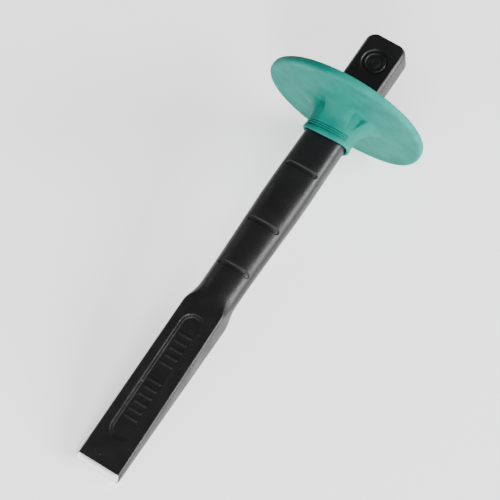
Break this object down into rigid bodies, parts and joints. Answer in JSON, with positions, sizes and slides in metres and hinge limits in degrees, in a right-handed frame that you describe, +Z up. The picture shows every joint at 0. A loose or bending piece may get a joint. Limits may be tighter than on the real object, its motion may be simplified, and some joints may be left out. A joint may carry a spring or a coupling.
{
  "type": "cold chisel with hand guard",
  "caption": "Flat cold chisel: a tapered blade, a barrel-shaped grip and a plain struck head, with a soft round hand guard pushed on below the head.",
  "frame": {"origin": "centre of the bounding box's underside: the tool lies on a table on the guard's rim and the blade's end", "axes": "+Y runs along the tool from the cutting edge to the struck end, which is raised by 10.4 degrees; +X runs across the blade; +Z is up, out of the marked front face"},
  "size_m": [0.066, 0.1976, 0.0646],
  "materials": {
    "chisel_body": "satin black paint over forged steel",
    "hand_guard": "soft matt teal rubber"
  },
  "bodies": {
    "chisel": {"chisel_body": "chisel_body"},
    "guard": {"hand_guard": "hand_guard"}
  },
  "joints": [
    {"name": "guard_slide", "type": "slide", "parent": "chisel", "child": "guard", "axis": [0, 0.9834, 0.1812], "range_m": [0, 0.053]}
  ]
}
